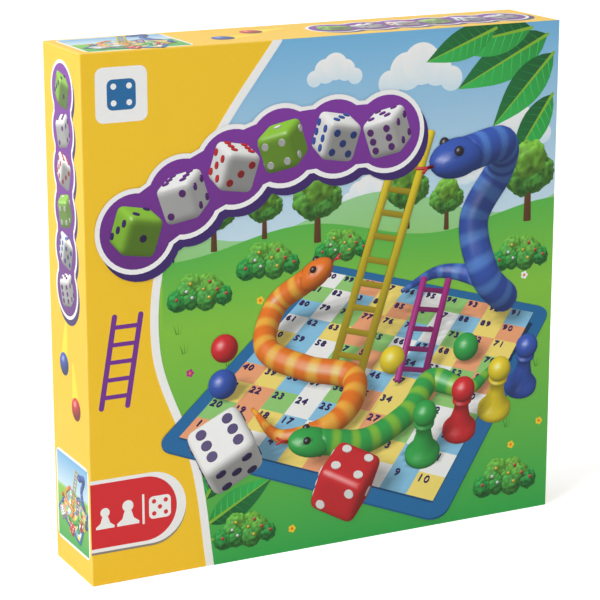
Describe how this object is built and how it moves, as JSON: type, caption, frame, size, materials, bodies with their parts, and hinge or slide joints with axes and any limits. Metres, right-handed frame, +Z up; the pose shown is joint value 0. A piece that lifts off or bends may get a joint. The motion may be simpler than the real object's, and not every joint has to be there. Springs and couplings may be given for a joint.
{
  "type": "boxed snakes and ladders game",
  "caption": "Square lift-off-lid game box standing on edge; inside, a printed board under a clear tray of moulded castle, slides, bridge, hinged ramp, carousel, balls, pawns and die.",
  "frame": {"origin": "centre of the lower edge face that the box stands on", "axes": "+X to the right of the printed front, +Y out of the back of the base, +Z up"},
  "size_m": [0.27, 0.05, 0.27],
  "materials": {
    "printed_card": "coated print with a light gloss",
    "leaflet_paper": "uncoated",
    "printed_board": "coated print with a light gloss",
    "clear_film": "clear thermoformed film",
    "clear_plastic": "clear moulding",
    "yellow_plastic": "moulded",
    "green_plastic": "moulded",
    "magenta_plastic": "moulded",
    "white_plastic": "moulded",
    "red_pieces": "moulded",
    "yellow_pieces": "moulded",
    "green_pieces": "moulded",
    "blue_pieces": "moulded"
  },
  "bodies": {
    "base": {"base": "printed_card", "rules_leaflet": "leaflet_paper", "game_board": "printed_board", "clear_tray": "clear_film", "castle": "yellow_plastic", "long_slide": "green_plastic", "winding_slide": "green_plastic", "short_slide": "green_plastic", "slide_posts": "green_plastic", "cloud_landing": "yellow_plastic", "carousel_foot": "yellow_plastic", "bridge": "magenta_plastic", "gate_pin": "yellow_plastic", "ramp_beam": "yellow_plastic", "ramp_stand": "clear_plastic", "ramp_bracket": "magenta_plastic", "ball_red": "red_pieces", "ball_yellow": "yellow_pieces", "ball_green": "green_pieces", "ball_blue": "blue_pieces", "pawn_red": "red_pieces", "pawn_yellow": "yellow_pieces", "pawn_green": "green_pieces", "pawn_blue": "blue_pieces", "die": "white_plastic"},
    "lid": {"lid": "printed_card"},
    "carousel": {"carousel_disc": "yellow_plastic", "carousel_knob": "yellow_plastic"},
    "gate": {"gate": "yellow_plastic"},
    "stair": {"ramp_stair": "yellow_plastic", "ramp_pin": "yellow_plastic"},
    "cup_1": {"cup_1": "magenta_plastic"},
    "cup_2": {"cup_2": "magenta_plastic"},
    "cup_3": {"cup_3": "magenta_plastic"},
    "cup_4": {"cup_4": "magenta_plastic"}
  },
  "joints": [
    {"name": "lid_lift", "type": "slide", "parent": "base", "child": "lid", "axis": [0, -1, 0], "range_m": [0, 0.3]},
    {"name": "carousel_spin", "type": "hinge", "parent": "base", "child": "carousel", "pos_m": [0.014, 0.015, 0.145], "axis": [0, -1, 0], "continuous": true},
    {"name": "gate_swing", "type": "hinge", "parent": "base", "child": "gate", "pos_m": [-0.0405, 0.005, 0.069], "axis": [0, -1, 0], "range_deg": [0, 80]},
    {"name": "stair_fold", "type": "hinge", "parent": "base", "child": "stair", "pos_m": [0.0505, 0.0168, 0.083], "axis": [0, 0, 1], "range_deg": [0, 60]},
    {"name": "cup_1_spin", "type": "hinge", "parent": "carousel", "child": "cup_1", "pos_m": [0.02708, 0.01, 0.15808], "axis": [0, -1, 0], "continuous": true},
    {"name": "cup_2_spin", "type": "hinge", "parent": "carousel", "child": "cup_2", "pos_m": [0.00092, 0.01, 0.15808], "axis": [0, -1, 0], "continuous": true},
    {"name": "cup_3_spin", "type": "hinge", "parent": "carousel", "child": "cup_3", "pos_m": [0.00092, 0.01, 0.13192], "axis": [0, -1, 0], "continuous": true},
    {"name": "cup_4_spin", "type": "hinge", "parent": "carousel", "child": "cup_4", "pos_m": [0.02708, 0.01, 0.13192], "axis": [0, -1, 0], "continuous": true}
  ]
}
